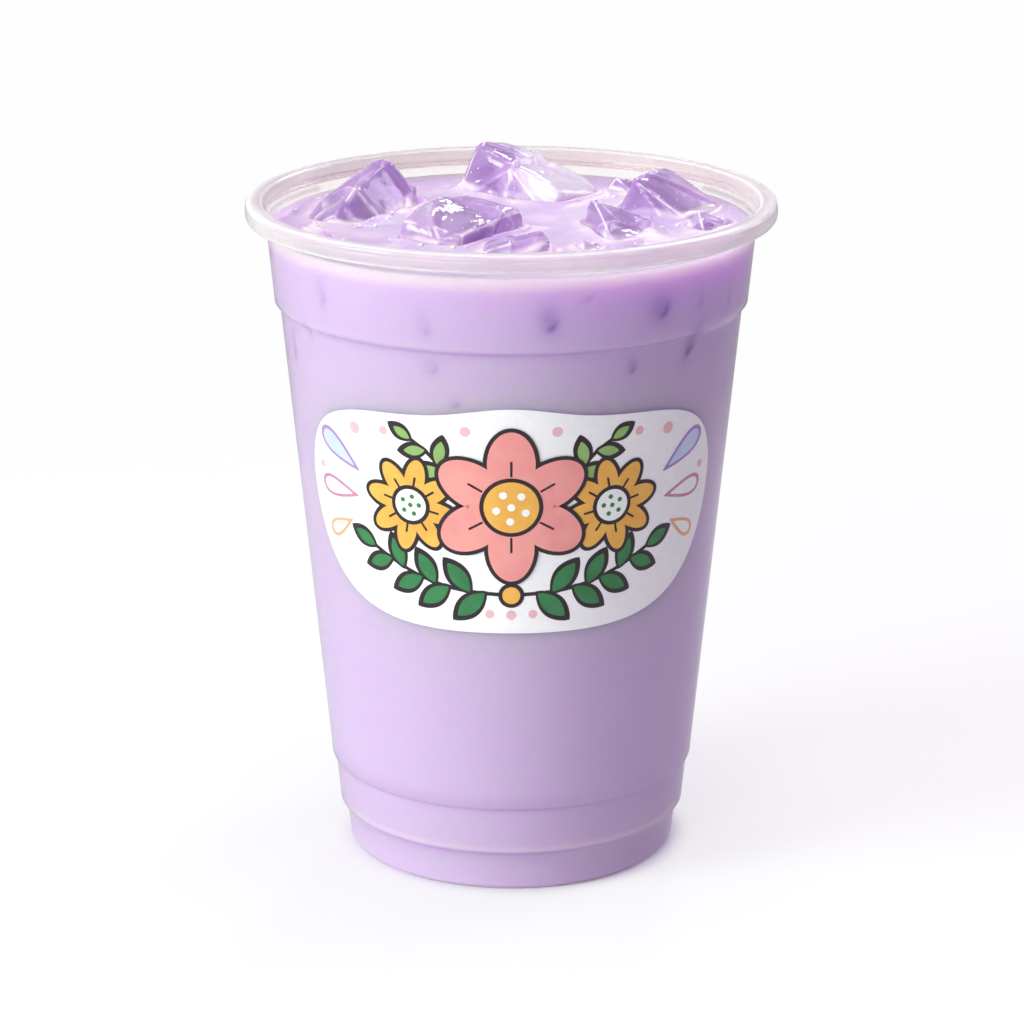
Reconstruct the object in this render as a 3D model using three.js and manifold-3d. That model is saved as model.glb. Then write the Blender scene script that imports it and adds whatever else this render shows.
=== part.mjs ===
// Iced taro milk tea in a clear thermoformed cup, with no lid.
// Millimetres, +Z up, origin at the centre of the foot that the cup stands on.
import * as THREE from 'three';
import { mergeVertices } from 'three/addons/utils/BufferGeometryUtils.js';
import Module from 'manifold-3d';

const wasm = await Module();
wasm.setup();

// Driving dimensions of the cup: outer radii and heights of each band
const rim = { radius: 47.5, height: 121.2, rollRadius: 1.7 };
const neck = { topRadius: 43.8, topHeight: 116.8, footRadius: 42.5, footHeight: 103.2 };
const wall = { topRadius: 41.4, topHeight: 101, footRadius: 33.4, footHeight: 17.1 };
const band = { topRadius: 32.65, topHeight: 15.3, footRadius: 31.95, footHeight: 8 };
const foot = { topRadius: 30.5, topHeight: 4.6, edgeRadius: 30.2, cornerRadius: 1.3 };
const footRing = { innerRadius: 27, recessRadius: 26, recessHeight: 1.2 };
const wallThickness = 0.8;
const aroundCup = 64;

// What is in the cup and on it
const clearance = 0.3;
const drinkLevel = 116.4;
const iceExponent = 7;
const iceDivisions = 4;

// Each melted ice cube: half sizes, centre and rotation vector (its length is the angle)
const iceCubes = [
  { half: [8.1, 11.8, 8.5], centre: [2.6, 29.0, 113.7], turn: [0.20, 0.31, 0.89] },
  { half: [8.0, 11.2, 13.9], centre: [-25.9, 12.1, 109.8], turn: [-1.39, -0.14, -0.86] },
  { half: [11.6, 12.5, 8.0], centre: [-9.2, -5.4, 108.6], turn: [1.54, 0.78, 0.77] },
  { half: [6.2, 4.4, 6.0], centre: [1.6, -20.2, 112.3], turn: [-0.02, 1.33, -0.09] },
  { half: [10.9, 6.3, 8.0], centre: [18.4, -5.0, 110.0], turn: [-0.13, 0.46, -1.30] },
  { half: [8.1, 8.1, 8.7], centre: [27.3, 13.4, 112.2], turn: [0.46, 0.31, 1.05] },
  { half: [4.6, 5.2, 4.4], centre: [35.2, -3.0, 112.6], turn: [0.50, 0.50, 0.30] },
  { half: [4.0, 4.0, 4.2], centre: [21.6, 30.4, 112.9], turn: [0.35, 0.50, 0.90] },
  { half: [4.4, 4.8, 4.4], centre: [-34.6, -8.8, 112.2], turn: [0.35, -0.55, 0.40] },
  { half: [2.7, 2.7, 3.0], centre: [13.0, -19.6, 113.9], turn: [0.60, 0.50, 0.20] },
];

// The die-cut sticker: height of its middle, length along the wall, and how far its outline goes
// up and down from there: at its two ends, along its top, at the swell of its top and at its foot
const sticker = {
  middle: 72, length: 84, thickness: 0.25, endRise: 3, topRise: 18.8, topSwell: 2.2, footDrop: 20.5,
};
const stickerColumns = 64;

const colours = {
  clearPlastic: 0xf2eef0,
  taroMilk: 0xcfb0dd,
  ice: 0xb892c8,
  sticker: 0xf7f2f8,
};

// A point of a lathe profile is (radius, height)
const at = (radius, height) => new THREE.Vector2(radius, height);

// A moulded step in the wall: it swells slowly from below and ends in a crisp edge above
function step(from, to, parts = 3) {
  const points = [];
  for (let i = 0; i <= parts; i += 1) {
    const t = i / parts;
    const swelling = 0.35 * t + 0.65 * t ** 4;
    points.push(at(THREE.MathUtils.lerp(from.x, to.x, swelling), THREE.MathUtils.lerp(from.y, to.y, t)));
  }
  return points;
}

// A round stretch of a profile; angles in degrees, 0 outwards and 90 up
function arc(centre, radius, startDegrees, endDegrees, parts) {
  const points = [];
  for (let i = 0; i <= parts; i += 1) {
    const angle = THREE.MathUtils.degToRad(THREE.MathUtils.lerp(startDegrees, endDegrees, i / parts));
    points.push(at(centre.x + radius * Math.cos(angle), centre.y + radius * Math.sin(angle)));
  }
  return points;
}

// The bands of the wall from the foot up, moved inwards by an inset
function bands(inset) {
  const place = (radius, height) => at(radius - inset, height);
  return [
    ...step(place(foot.topRadius, foot.topHeight), place(band.footRadius, band.footHeight)),
    ...step(place(band.topRadius, band.topHeight), place(wall.footRadius, wall.footHeight)),
    ...step(place(wall.topRadius, wall.topHeight), place(neck.footRadius, neck.footHeight)),
    place(neck.topRadius, neck.topHeight),
  ];
}

function lathe(profile) {
  const geometry = new THREE.LatheGeometry(profile, aroundCup);
  // Lathe geometry turns about Y, and the cup stands along Z
  geometry.rotateX(Math.PI / 2);
  return geometry;
}

function cupGeometry() {
  const rollCentre = at(rim.radius - rim.rollRadius, rim.height - rim.rollRadius);
  const cornerCentre = at(foot.edgeRadius - foot.cornerRadius, foot.cornerRadius);
  const floorTop = footRing.recessHeight + wallThickness;
  const lip = arc(rollCentre, rim.rollRadius, -150, 150, 10);
  const insideNeck = at(neck.topRadius - wallThickness, neck.topHeight);
  const flare = at(insideNeck.x + 0.35, neck.topHeight + 1.8);
  const outside = [
    at(0, footRing.recessHeight),
    at(footRing.recessRadius, footRing.recessHeight),
    at(footRing.innerRadius, 0),
    ...arc(cornerCentre, foot.cornerRadius, -90, 0, 3),
    ...bands(0),
  ];
  const inside = [
    ...bands(wallThickness),
    flare,
  ].reverse();
  const floorCorner = arc(at(foot.edgeRadius - wallThickness - 1.5, floorTop + 1.5), 1.5, 0, -90, 2);
  return lathe([...outside, ...lip, ...inside, ...floorCorner, at(0, floorTop)]);
}

function drinkGeometry() {
  const inset = wallThickness + clearance;
  const bottom = footRing.recessHeight + inset;
  const walls = bands(inset);
  const last = walls.pop();
  const slope = (neck.topRadius - neck.footRadius) / (neck.topHeight - neck.footHeight);
  const surfaceRadius = last.x - slope * (last.y - drinkLevel);
  const corner = arc(at(foot.edgeRadius - inset - 1.5, bottom + 1.5), 1.5, -90, 0, 2);
  return lathe([at(0, bottom), ...corner, ...walls, at(surfaceRadius, drinkLevel), at(0, drinkLevel)]);
}

// A melted cube: a box whose surface is drawn onto a superellipsoid, so its edges are round
function iceGeometry(cube, grow = 0) {
  const divisions = iceDivisions;
  const geometry = new THREE.BoxGeometry(2, 2, 2, divisions, divisions, divisions);
  const position = geometry.getAttribute('position');
  const point = new THREE.Vector3();
  const half = new THREE.Vector3(...cube.half).addScalar(grow);
  for (let i = 0; i < position.count; i += 1) {
    point.fromBufferAttribute(position, i);
    // Even angles between the corners give each face evenly spaced points
    point.set(...point.toArray().map((value) => Math.tan((value * Math.PI) / 4)));
    const power = point.toArray().reduce((sum, value) => sum + Math.abs(value) ** iceExponent, 0);
    point.divideScalar(power ** (1 / iceExponent)).multiply(half);
    position.setXYZ(i, point.x, point.y, point.z);
  }
  return geometry;
}

function placeIce(object, cube) {
  const turn = new THREE.Vector3(...cube.turn);
  object.position.set(...cube.centre);
  object.quaternion.setFromAxisAngle(turn.clone().normalize(), turn.length());
  object.updateMatrix();
  return object;
}

// The sticker's upper and lower edge at a place along it, -1 to 1, in millimetres from its middle
function stickerTop(along) {
  const shoulders = Math.sqrt(Math.max(0, 1 - along ** 6));
  const swell = sticker.topSwell * Math.exp(-((along / 0.26) ** 2));
  return sticker.endRise + (sticker.topRise - sticker.endRise) * shoulders + swell;
}

function stickerFoot(along) {
  const flanks = Math.sqrt(Math.max(0, 1 - along ** 4));
  return sticker.endRise - (sticker.endRise + sticker.footDrop) * flanks;
}

// A closed skin bent round the tapered wall, from columns of four corners each
function stickerGeometry() {
  const slope = (wall.topRadius - wall.footRadius) / (wall.topHeight - wall.footHeight);
  const radiusAt = (height) => wall.footRadius + slope * (height - wall.footHeight);
  const halfAngle = sticker.length / 2 / radiusAt(sticker.middle);
  const columns = [];
  for (let i = 1; i < stickerColumns; i += 1) {
    // Columns crowd towards the ends, where the outline turns quickly
    const along = -Math.cos((Math.PI * i) / stickerColumns);
    const angle = along * halfAngle;
    const low = sticker.middle + stickerFoot(along);
    const high = sticker.middle + stickerTop(along);
    const corner = (height, out) => {
      const radius = radiusAt(height) + out;
      return [radius * Math.sin(angle), -radius * Math.cos(angle), height];
    };
    const outer = clearance + sticker.thickness;
    columns.push([corner(low, clearance), corner(low, outer), corner(high, outer), corner(high, clearance)]);
  }
  const positions = columns.flat(2);
  const indices = [];
  for (let i = 0; i + 1 < columns.length; i += 1) {
    for (let side = 0; side < 4; side += 1) {
      const a = 4 * i + side;
      const b = 4 * i + ((side + 1) % 4);
      indices.push(a, a + 4, b, b, a + 4, b + 4);
    }
  }
  const end = 4 * (columns.length - 1);
  indices.push(0, 1, 2, 0, 2, 3, end, end + 2, end + 1, end, end + 3, end + 2);
  const geometry = new THREE.BufferGeometry();
  geometry.setAttribute('position', new THREE.Float32BufferAttribute(positions, 3));
  geometry.setIndex(indices);
  return geometry;
}

// Keeps only the positions of a geometry and joins the corners that its faces share
function weld(geometry) {
  const bare = geometry.clone();
  bare.deleteAttribute('normal');
  bare.deleteAttribute('uv');
  return mergeVertices(bare, 1e-4);
}

function toManifold(geometry, matrix = new THREE.Matrix4()) {
  const welded = weld(geometry.clone().applyMatrix4(matrix));
  return new wasm.Manifold(new wasm.Mesh({
    numProp: 3,
    vertProperties: new Float32Array(welded.getAttribute('position').array),
    triVerts: new Uint32Array(welded.getIndex().array),
  }));
}

function toGeometry(manifold) {
  const mesh = manifold.getMesh();
  const geometry = new THREE.BufferGeometry();
  geometry.setAttribute('position', new THREE.Float32BufferAttribute(mesh.vertProperties, 3));
  geometry.setIndex(Array.from(mesh.triVerts));
  return geometry;
}

function solid(name, geometry, material) {
  const mesh = new THREE.Mesh(geometry, new THREE.MeshStandardMaterial({ metalness: 0, ...material }));
  mesh.name = name;
  return mesh;
}

const drinkInCup = new THREE.Group();

drinkInCup.add(solid('cup', weld(cupGeometry()), {
  color: colours.clearPlastic, roughness: 0.12, transparent: true, opacity: 0.35,
}));

// The drink fills the cup and leaves a pocket round each cube that breaks its surface
let drink = toManifold(drinkGeometry());
for (const cube of iceCubes) {
  const pocket = placeIce(new THREE.Object3D(), cube);
  drink = drink.subtract(toManifold(iceGeometry(cube, clearance), pocket.matrix));
}
drinkInCup.add(solid('drink', toGeometry(drink), { color: colours.taroMilk, roughness: 0.25 }));

iceCubes.forEach((cube, index) => {
  const ice = solid(`ice_${index + 1}`, weld(iceGeometry(cube)), { color: colours.ice, roughness: 0.08 });
  drinkInCup.add(placeIce(ice, cube));
});

drinkInCup.add(solid('label', stickerGeometry(), { color: colours.sticker, roughness: 0.45 }));

export default drinkInCup;
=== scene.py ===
"""Iced taro milk tea in a clear lidless cup: the looks round the fixed frame."""
import math

import bmesh
import bpy
import numpy as np
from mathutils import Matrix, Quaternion, Vector


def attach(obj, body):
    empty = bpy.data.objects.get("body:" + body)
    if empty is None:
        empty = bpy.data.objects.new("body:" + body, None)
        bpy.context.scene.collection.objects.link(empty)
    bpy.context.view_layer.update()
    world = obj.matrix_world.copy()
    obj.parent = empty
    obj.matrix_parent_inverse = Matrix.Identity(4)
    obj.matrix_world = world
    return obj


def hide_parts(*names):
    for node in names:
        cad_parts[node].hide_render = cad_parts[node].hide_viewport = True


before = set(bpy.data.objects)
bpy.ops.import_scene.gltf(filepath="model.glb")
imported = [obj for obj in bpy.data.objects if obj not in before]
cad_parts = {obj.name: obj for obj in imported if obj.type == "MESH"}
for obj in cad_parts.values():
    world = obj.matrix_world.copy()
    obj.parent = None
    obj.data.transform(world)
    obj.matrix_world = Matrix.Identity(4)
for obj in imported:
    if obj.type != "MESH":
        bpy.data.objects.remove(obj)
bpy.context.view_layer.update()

MM = 0.001
random = np.random.default_rng(7)

# The cup in millimetres, its bands as (radius, height), as in the part's source
RIM_RADIUS, RIM_HEIGHT, ROLL_RADIUS = 47.5, 121.2, 1.7
NECK_TOP, NECK_FOOT = (43.8, 116.8), (42.5, 103.2)
WALL_TOP, WALL_FOOT = (41.4, 101.0), (33.4, 17.1)
BAND_TOP, BAND_FOOT = (32.65, 15.3), (31.95, 8.0)
FOOT_TOP, FOOT_EDGE, FOOT_CORNER = (30.5, 4.6), 30.2, 1.3
RING_INNER, RECESS_RADIUS, RECESS_HEIGHT = 27.0, 26.0, 1.2
WALL_THICKNESS = 0.8
WALL_LINE = [(FOOT_EDGE, 0), FOOT_TOP, BAND_FOOT, BAND_TOP, WALL_FOOT, WALL_TOP, NECK_FOOT, NECK_TOP]

# The middle of the rolled rim's section, and the thickness of the sheet that it is curled from
CURL_MIDDLE = (RIM_RADIUS - ROLL_RADIUS, RIM_HEIGHT - ROLL_RADIUS)
CURL_SHEET = 0.6

# The rim's section is a soft square: the power that makes it so, and the fine groove in it
CURL_POWER = 3.4
GROOVE_ANGLE, GROOVE_WIDTH, GROOVE_DEPTH = 20, 7, 0.09

# Painted highlight lines on the bends of the rim, drawn in milky white, in degrees round its section
# from straight outwards
RIM_HIGHLIGHT_BENDS, HIGHLIGHT_WIDTH = (128, 56, -40), 8

# How deep the milk reaches into the wall from outside, so that no air gap shows
MILK_INSET = 0.4
MILK_LEVEL = 115.9

# The milk's surface, in millimetres: how far it sinks in the open, how far it climbs close to the
# ice, in a wide swell round the ice and at the wall, and how deep the pocket under a cube gets
OPEN_DROP, ICE_CLIMB, ICE_SWELL, WALL_CLIMB, POCKET_DEPTH = 0.65, 1.0, 0.8, 0.9, 7.5

# The height of the milk's edge at the wall
EDGE_HEIGHT = MILK_LEVEL + 0.7

# How square the cubes are, a little rounder than the solids, and the size that makes up for it
ICE_POWER, ICE_GROWTH = 6.2, 1.02

# Each melted cube: half sizes, centre and rotation vector, as in the part's source
ICE_CUBES = [
    ((8.1, 11.8, 8.5), (2.6, 29.0, 113.7), (0.20, 0.31, 0.89)),
    ((8.0, 11.2, 13.9), (-25.9, 12.1, 109.8), (-1.39, -0.14, -0.86)),
    ((11.6, 12.5, 8.0), (-9.2, -5.4, 108.6), (1.54, 0.78, 0.77)),
    ((6.2, 4.4, 6.0), (1.6, -20.2, 112.3), (-0.02, 1.33, -0.09)),
    ((10.9, 6.3, 8.0), (18.4, -5.0, 110.0), (-0.13, 0.46, -1.30)),
    ((8.1, 8.1, 8.7), (27.3, 13.4, 112.2), (0.46, 0.31, 1.05)),
    ((4.6, 5.2, 4.4), (35.2, -3.0, 112.6), (0.50, 0.50, 0.30)),
    ((4.0, 4.0, 4.2), (21.6, 30.4, 112.9), (0.35, 0.50, 0.90)),
    ((4.4, 4.8, 4.4), (-34.6, -8.8, 112.2), (0.35, -0.55, 0.40)),
    ((2.7, 2.7, 3.0), (13.0, -19.6, 113.9), (0.60, 0.50, 0.20)),
]

# The cube that stays pale, the tall one at the back
PALE_CUBE = 1

# The scoops of a cube: how many, and how deep as a share of its mean half size. Waves lie over
# them, their depth in millimetres. The painted highlight lines along the cube's edges are about this
# wide.
SCOOPS, SCOOP_DEPTH, WAVE_DEPTH, HIGHLIGHT_EDGE_WIDTH = 12, 0.09, 0.14, 0.4

# Corners of sunk ice that come close to the wall: angle from the front and height of the
# spot, its width and height in millimetres, its lean in degrees and how dark it gets
SUNK_CORNERS = [
    (8.6, 108.8, 2.0, 2.8, 8, 0.9),
    (36.5, 109.3, 2.6, 2.8, 20, 0.85),
    (48.6, 101.4, 1.5, 3.4, -22, 0.9),
    (30.2, 99.2, 1.0, 1.6, 0, 0.8),
    (17.3, 112.3, 1.6, 0.5, 30, 0.5),
    (-49.5, 110.3, 1.3, 2.9, 5, 0.4),
    (-68.9, 97.6, 0.8, 3.2, 0, 0.55),
    (-58.0, 102.6, 0.9, 2.0, 10, 0.45),
    (-20.5, 107.5, 1.5, 2.6, 20, 0.35),
    (-19.5, 99.9, 1.7, 1.7, 20, 0.4),
    (-13.6, 93.6, 0.9, 0.9, 0, 0.55),
    (-84.0, 112.0, 0.7, 3.0, 0, 0.55),
    (49.5, 109.0, 1.0, 1.8, 0, 0.35),
    (62.6, 107.6, 0.8, 1.8, 0, 0.4),
    (70.2, 91.0, 1.8, 2.6, 0, 0.3),
    (112.0, 106.0, 2.4, 3.0, 15, 0.8),
    (141.0, 99.5, 1.6, 3.2, -10, 0.6),
    (168.0, 108.0, 2.8, 2.4, 25, 0.8),
    (-158.0, 103.5, 1.8, 2.6, 0, 0.6),
    (-131.0, 108.5, 2.2, 3.0, -15, 0.75),
    (-104.0, 98.0, 1.6, 2.6, 10, 0.5),
]

# The moulded edges of the wall, painted on the milk as light and shade: height, how pale the painted
# highlight on the edge is and how dark the painted shade under it
MOULDED_EDGES = [
    (BAND_FOOT[1], 0.6, 0.3),
    (WALL_FOOT[1], 0.25, 0.25),
    (NECK_FOOT[1], 0.1, 0.25),
]

MILK_BUBBLES, ICE_BUBBLES = 80, 70

# The sticker, as in the part's source: the height of its middle, its length along the wall, and
# how far its outline goes up and down from there, at its ends, its top, its swell and its foot
STICKER_MIDDLE, STICKER_LENGTH = 72.0, 84.0
END_RISE, TOP_RISE, TOP_SWELL, FOOT_DROP = 3.0, 18.8, 2.2, 20.5

# The paper's gap to the wall and its thickness, so thin that the inks fit within the solid's reach
PAPER_LIFT, PAPER_THICKNESS = 0.03, 0.18

# The printed inks lie in thin layers over each other
INK_STEP = 0.02

# How wide the dark line is round a shape, of a stem and of a crease in a petal
LINE, STEM, CREASE = 0.72, 0.7, 0.4

CAMERA_DISTANCE, CAMERA_HEIGHT, CAMERA_PITCH, CAMERA_LENS = 604.8, 250.2, 17.269, 121.33
SENSOR_WIDTH, AXIS_PIXEL, FRAME_PIXELS = 36, 511.3, 1024

# Each lamp: name, place, what it points at, size, power and colour
CUP_MIDDLE = (0, 0, 0.06)
LAMPS = [
    ("key", (-1.0, -0.5, 0.52), CUP_MIDDLE, 0.6, 11.2, (0.93, 1.11, 0.9)),
    ("front", (-0.7, -1.3, 0.45), CUP_MIDDLE, 0.9, 8.6, (0.96, 1.07, 0.96)),
    ("top", (0.15, 0.0, 2.0), (0.1, 0.2, 0), 1.1, 14, (1, 1, 1)),
    ("back", (0.25, 1.3, 0.85), CUP_MIDDLE, 0.26, 2.2, (1, 1, 1)),
    ("side", (0.9, 0.7, 0.7), CUP_MIDDLE, 0.7, 4.5, (1.0, 0.96, 1.06)),
]
FLOOR_REACH = 3000


def smoothstep(low, high, value):
    t = np.clip((value - low) / (high - low), 0.0, 1.0)
    return t * t * (3 - 2 * t)


# Pieces

def put_in_scene(name, mesh, material, smooth=True):
    """Makes a piece of a mesh; the object stays at the origin."""
    mesh.materials.append(material)
    for polygon in mesh.polygons:
        polygon.use_smooth = smooth
    piece = bpy.data.objects.new(name, mesh)
    bpy.context.scene.collection.objects.link(piece)
    return piece


def piece_of_points(name, points_mm, faces, material, smooth=True):
    mesh = bpy.data.meshes.new(name)
    mesh.from_pydata((np.asarray(points_mm) * MM).tolist(), [], faces)
    mesh.update()
    return put_in_scene(name, mesh, material, smooth)


def piece_of_shape(name, shape, material):
    mesh = bpy.data.meshes.new(name)
    shape.to_mesh(mesh)
    shape.free()
    return put_in_scene(name, mesh, material)


def point_values(piece, name, values):
    layer = piece.data.attributes.new(name, "FLOAT", "POINT")
    layer.data.foreach_set("value", np.asarray(values, np.float32))


def belongs(piece, slot, *nodes):
    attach(piece, "root")
    if nodes:
        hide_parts(*nodes)


def weld(piece):
    """Joins the points that the sides of a mesh share."""
    shape = bmesh.new()
    shape.from_mesh(piece.data)
    bmesh.ops.remove_doubles(shape, verts=shape.verts, dist=1e-6)
    bmesh.ops.recalc_face_normals(shape, faces=shape.faces)
    shape.to_mesh(piece.data)
    shape.free()


# Profiles of (radius, height) and the round shapes that they turn into

def step(start, end, parts=10):
    """A moulded step in a wall: it swells slowly from below and ends in a crisp edge above."""
    t = np.linspace(0, 1, parts + 1)
    swelling = 0.35 * t + 0.65 * t ** 4
    radii = start[0] + (end[0] - start[0]) * swelling
    heights = start[1] + (end[1] - start[1]) * t
    return list(zip(radii, heights))


def arc(centre, radius, start, end, parts):
    """A round stretch of a profile; angles in degrees, 0 outwards and 90 up."""
    angles = np.radians(np.linspace(start, end, parts + 1))
    return [(centre[0] + radius * math.cos(a), centre[1] + radius * math.sin(a)) for a in angles]


def bent(start, bend, end, parts):
    """A stretch of a profile that bends smoothly between two points, which are left out."""
    return [
        tuple((1 - t) ** 2 * start[i] + 2 * t * (1 - t) * bend[i] + t * t * end[i] for i in (0, 1))
        for t in np.linspace(0, 1, parts + 1)[1:-1]
    ]


def foot_bands(inset):
    """The two lowest bands of the wall from the foot up, moved inwards by an inset."""
    rows = [*step(FOOT_TOP, BAND_FOOT), *step(BAND_TOP, WALL_FOOT)]
    return [(radius - inset, height) for radius, height in rows]


def neck_band(inset):
    """The step from the tapered wall to the neck, moved inwards by an inset."""
    return [(radius - inset, height) for radius, height in step(WALL_TOP, NECK_FOOT)]


def whole_wall(inset):
    """The wall from the foot to the top of the neck, moved inwards by an inset."""
    return [*foot_bands(inset), *neck_band(inset), (NECK_TOP[0] - inset, NECK_TOP[1])]


def dense(profile, longest):
    """The same profile with its long stretches cut into steps."""
    rows = [profile[0]]
    for start, end in zip(profile, profile[1:]):
        parts = max(1, math.ceil(math.dist(start, end) / longest))
        for i in range(1, parts + 1):
            t = i / parts
            rows.append((start[0] + (end[0] - start[0]) * t, start[1] + (end[1] - start[1]) * t))
    return rows


def wall_radius(height):
    """The outer radius of the tapered wall at a height, the neck and the foot included."""
    radii, heights = zip(*WALL_LINE)
    return np.interp(height, heights, radii)


def turned(profile, around):
    """Points of a profile turned about Z. Column 0 faces the front, -Y."""
    angles = np.linspace(0, 2 * math.pi, around, endpoint=False)
    radii = np.array([p[0] for p in profile])[:, None]
    heights = np.array([p[1] for p in profile])[:, None]
    x = radii * np.sin(angles)[None]
    y = -radii * np.cos(angles)[None]
    z = np.broadcast_to(heights, x.shape)
    return np.stack([x, y, z], -1).reshape(-1, 3)


def ring_grid(rows, around):
    """Faces between rings of equal length, closed round each ring."""
    faces = []
    for row in range(rows - 1):
        low, high = row * around, (row + 1) * around
        for i in range(around):
            j = (i + 1) % around
            faces.append((low + i, low + j, high + j, high + i))
    return faces


def caps(points, faces, rows, around, first_height, last_height):
    """Closes a turned profile with one point on the axis at each end."""
    first, last = len(points), len(points) + 1
    points = np.vstack([points, [[0, 0, first_height], [0, 0, last_height]]])
    top = (rows - 1) * around
    for i in range(around):
        j = (i + 1) % around
        faces.append((first, j, i))
        faces.append((last, top + i, top + j))
    return points, faces


# Materials

def new_material(name):
    material = bpy.data.materials.new(name)
    material.use_nodes = True
    tree = material.node_tree
    tree.nodes.clear()
    output = tree.nodes.new("ShaderNodeOutputMaterial")
    return material, tree, output.inputs["Surface"]


def add(tree, kind, values=None, **settings):
    """A node with its settings, its plain values and its links, in one call."""
    node = tree.nodes.new(kind)
    for key, value in settings.items():
        setattr(node, key, value)
    for key, value in (values or {}).items():
        if isinstance(value, bpy.types.NodeSocket):
            tree.links.new(value, node.inputs[key])
        else:
            node.inputs[key].default_value = value
    return node


def principled(tree, values):
    return add(tree, "ShaderNodeBsdfPrincipled", values).outputs[0]


def mix_shader(tree, factor, first, second):
    return add(tree, "ShaderNodeMixShader", {0: factor, 1: first, 2: second}).outputs[0]


def rgb(red, green, blue):
    """A linear colour from the 0 to 255 numbers of a screen colour."""
    def linear(value):
        value /= 255
        return value / 12.92 if value <= 0.04045 else ((value + 0.055) / 1.055) ** 2.4
    return (linear(red), linear(green), linear(blue), 1.0)


def mix_colour(tree, factor, first, second):
    return add(tree, "ShaderNodeMix", {0: factor, 6: first, 7: second}, data_type="RGBA").outputs[2]


def maths(tree, operation, first, second=0.0):
    return add(tree, "ShaderNodeMath", {0: first, 1: second}, operation=operation).outputs[0]


def times(tree, first, second):
    return maths(tree, "MULTIPLY", first, second)


def noise_texture(tree, scale, detail=3.0, roughness=0.5, distortion=0.0):
    return add(tree, "ShaderNodeTexNoise", {
        "Vector": add(tree, "ShaderNodeTexCoord").outputs["Object"],
        "Scale": scale,
        "Detail": detail,
        "Roughness": roughness,
        "Distortion": distortion,
    }).outputs["Fac"]


def ramp(tree, factor, low, high):
    """0 below low and 1 above high."""
    values = {"Value": factor, "From Min": low, "From Max": high}
    node = add(tree, "ShaderNodeMapRange", values, clamp=True, interpolation_type="SMOOTHSTEP")
    return node.outputs[0]


def attribute(tree, name):
    return add(tree, "ShaderNodeAttribute", attribute_name=name).outputs["Fac"]


def bump(tree, height, distance, strength):
    values = {"Height": height, "Distance": distance, "Strength": strength}
    return add(tree, "ShaderNodeBump", values).outputs[0]


def seen_directly(tree, path):
    """1 for what the camera sees, also through clear things, and 0 for light that bounces."""
    return maths(tree, "MAXIMUM", path["Is Camera Ray"], path["Is Transmission Ray"])


def clear_to_lamps(tree, shader, tint):
    """Lets lamp light and bounced light through a clear surface."""
    path = add(tree, "ShaderNodeLightPath").outputs
    through = maths(tree, "MAXIMUM", path["Is Shadow Ray"], path["Is Diffuse Ray"])
    clear = add(tree, "ShaderNodeBsdfTransparent", {"Color": tint}).outputs[0]
    return mix_shader(tree, through, shader, clear)


def cup_material():
    material, tree, surface = new_material("clear_cup")
    relief = bump(tree, noise_texture(tree, 35.0, detail=1.0), distance=0.0001, strength=0.04)
    plastic = principled(tree, {
        "Base Color": rgb(253, 251, 250),
        "Roughness": 0.1,
        "IOR": 1.3,
        "Transmission Weight": 1.0,
        "Normal": relief,
    })
    milky = principled(tree, {
        "Base Color": rgb(247, 239, 240),
        "Roughness": 0.14,
        "Subsurface Weight": 1.0,
        "Subsurface Radius": (1.0, 0.9, 0.95),
        "Subsurface Scale": 0.003,
        "Normal": relief,
    })
    haze = 0.03
    wall = mix_shader(tree, haze, plastic, milky)
    # The rolled rim is clear where it is seen square on and white at its sides, with painted highlight
    # lines on its bends
    facing = add(tree, "ShaderNodeLayerWeight", {"Blend": 0.4}).outputs["Facing"]
    sides = times(tree, times(tree, times(tree, facing, facing), attribute(tree, "outer")), 0.6)
    white = maths(tree, "ADD", sides, attribute(tree, "haze_and_highlights"))
    clear = add(tree, "ShaderNodeBsdfTransparent", {"Color": rgb(252, 248, 248)}).outputs[0]
    rim = mix_shader(tree, white, clear, milky)
    roll = attribute(tree, "roll")
    body = mix_shader(tree, roll, wall, rim)
    # The rim takes a little lamp light away, so it shades the milk and the neck below it
    tint = mix_colour(tree, roll, rgb(250, 246, 250), rgb(240, 234, 238))
    tree.links.new(clear_to_lamps(tree, body, tint), surface)
    return material


def milk_material():
    material, tree, surface = new_material("taro_milk")
    lavender, cloudy = rgb(205, 183, 220), rgb(199, 174, 216)
    deep, cream, peach = rgb(130, 88, 172), rgb(226, 206, 228), rgb(242, 222, 212)
    clouds = noise_texture(tree, 26.0, detail=3.0, roughness=0.55, distortion=0.4)
    colour = mix_colour(tree, times(tree, ramp(tree, clouds, 0.35, 0.75), 0.12), lavender, cloudy)
    # The deep colour marks sunk ice near the wall and is also painted shade under the moulded edges;
    # the cream is also a painted highlight on those edges
    colour = mix_colour(tree, attribute(tree, "sunk_ice_and_edge_shade"), colour, deep)
    colour = mix_colour(tree, attribute(tree, "cream"), colour, cream)
    colour = mix_colour(tree, attribute(tree, "peach"), colour, peach)
    # The open surface is wetter than the milk behind the wall, and it alone has ripples
    wet = attribute(tree, "open_surface")
    ripple = noise_texture(tree, 240.0, detail=2.0, roughness=0.5, distortion=0.6)
    shader = principled(tree, {
        "Base Color": colour,
        "Roughness": maths(tree, "SUBTRACT", 0.55, times(tree, wet, 0.22)),
        "IOR": 1.33,
        "Subsurface Weight": 0.85,
        "Subsurface Radius": (1.3, 0.5, 1.6),
        "Subsurface Scale": times(tree, attribute(tree, "light_spread"), 0.014),
        "Normal": bump(tree, times(tree, ripple, wet), distance=0.0006, strength=0.5),
    })
    tree.links.new(shader, surface)
    return material


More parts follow.
